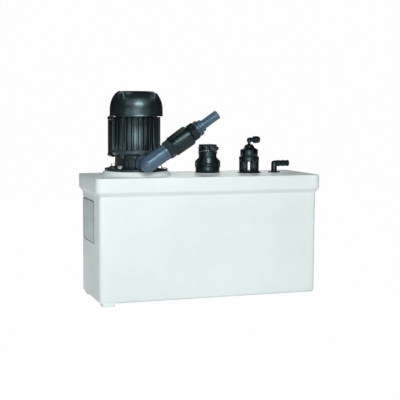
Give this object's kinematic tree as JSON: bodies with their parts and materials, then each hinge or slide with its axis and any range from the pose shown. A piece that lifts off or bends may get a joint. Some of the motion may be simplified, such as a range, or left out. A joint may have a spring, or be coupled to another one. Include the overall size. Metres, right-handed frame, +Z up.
{
  "type": "brine lifting pump",
  "caption": "Brine lifting pump: upright pump and finned motor on a long moulded tank, with check valve and hose tail, sleeved inlet, air gap fitting and barbed vent elbow.",
  "frame": {"origin": "middle of the space the whole pump takes up, on the floor under its feet", "axes": "+X along the tank from the motor towards the vent elbow, +Y towards the terminal box at the back, +Z up"},
  "size_m": [0.5, 0.2028, 0.4433],
  "materials": {
    "tank": "moulded, satin",
    "plate_metal": "satin",
    "insert_metal": "turned",
    "rubber": "matte",
    "head_paint": "painted, semi-gloss",
    "shield_paint": "painted, semi-gloss",
    "motor_paint": "painted, semi-gloss",
    "cowl_plastic": "moulded, semi-gloss",
    "box_plastic": "moulded, semi-gloss",
    "dark_steel": "blackened",
    "steel": "plain stainless",
    "laminated_steel": "stacked sheets",
    "winding": "varnished copper wire",
    "block_plastic": "moulded",
    "wet_plastic": "moulded, glass filled",
    "fan_plastic": "moulded",
    "grey_plastic": "moulded, satin",
    "valve_plastic": "moulded, satin",
    "poppet_plastic": "moulded",
    "fitting_plastic": "moulded, satin",
    "float_plastic": "foamed"
  },
  "bodies": {
    "unit": {"tank": "tank", "rating_plate": "plate_metal", "threaded_inserts": "insert_metal", "head_gasket": "rubber", "tail_o_ring": "rubber", "inlet_sleeve": "rubber", "vent_grommet": "rubber", "shaft_seal": "rubber", "pump_head": "head_paint", "lower_end_shield": "shield_paint", "upper_end_shield": "shield_paint", "stator_housing": "motor_paint", "fan_cowl": "cowl_plastic", "terminal_box": "box_plastic", "terminal_lid": "box_plastic", "cable_gland": "box_plastic", "tie_bolts": "dark_steel", "inlet_clamp_band": "dark_steel", "inlet_clamp_screw": "dark_steel", "head_bolts": "steel", "casing_screws": "steel", "cowl_screws": "steel", "lid_screws": "steel", "lower_bearing": "steel", "upper_bearing": "steel", "level_rod": "steel", "level_stop_clips": "steel", "valve_spring": "steel", "stator_core": "laminated_steel", "stator_windings": "winding", "terminal_block": "block_plastic", "lower_bush": "block_plastic", "column_tube": "wet_plastic", "riser_pipe": "wet_plastic", "volute_casing": "wet_plastic", "suction_cover": "wet_plastic", "delivery_elbow": "grey_plastic", "threaded_nipple": "grey_plastic", "tail_adapter": "grey_plastic", "hose_tail": "grey_plastic", "check_valve_body": "valve_plastic", "check_valve_cap": "valve_plastic", "inlet_union": "fitting_plastic", "inlet_back_nut": "fitting_plastic", "air_gap_cage": "fitting_plastic", "air_gap_cap": "fitting_plastic", "air_gap_nut": "fitting_plastic", "vent_elbow": "fitting_plastic"},
    "rotor": {"motor_shaft": "steel", "rotor_core": "laminated_steel", "cooling_fan": "fan_plastic", "shaft_coupling": "steel", "pump_shaft": "steel", "impeller": "wet_plastic", "impeller_nut": "steel"},
    "poppet": {"valve_poppet": "poppet_plastic"},
    "float": {"level_float": "float_plastic"},
    "swivel": {"push_in_elbow": "fitting_plastic"},
    "collet": {"release_collet": "fitting_plastic"}
  },
  "joints": [
    {"name": "rotor_spin", "type": "hinge", "parent": "unit", "child": "rotor", "pos_m": [-0.142, 0.00792, 0.35], "axis": [0, 0, 1], "continuous": true},
    {"name": "valve_lift", "type": "slide", "parent": "unit", "child": "poppet", "axis": [0.8241, 0, 0.5664], "range_m": [0, 0.006], "stiffness_N_per_m": 60, "springref_m": -0.004, "deforming": ["valve_spring"]},
    {"name": "float_slide", "type": "slide", "parent": "unit", "child": "float", "axis": [0, 0, 1], "range_m": [0, 0.06]},
    {"name": "elbow_swivel", "type": "hinge", "parent": "unit", "child": "swivel", "pos_m": [0.1241, 0.02593, 0.325], "axis": [0, 0, 1], "continuous": true},
    {"name": "collet_press", "type": "slide", "parent": "swivel", "child": "collet", "axis": [-1, 0, 0], "range_m": [0, 0.001], "stiffness_N_per_m": 400}
  ]
}
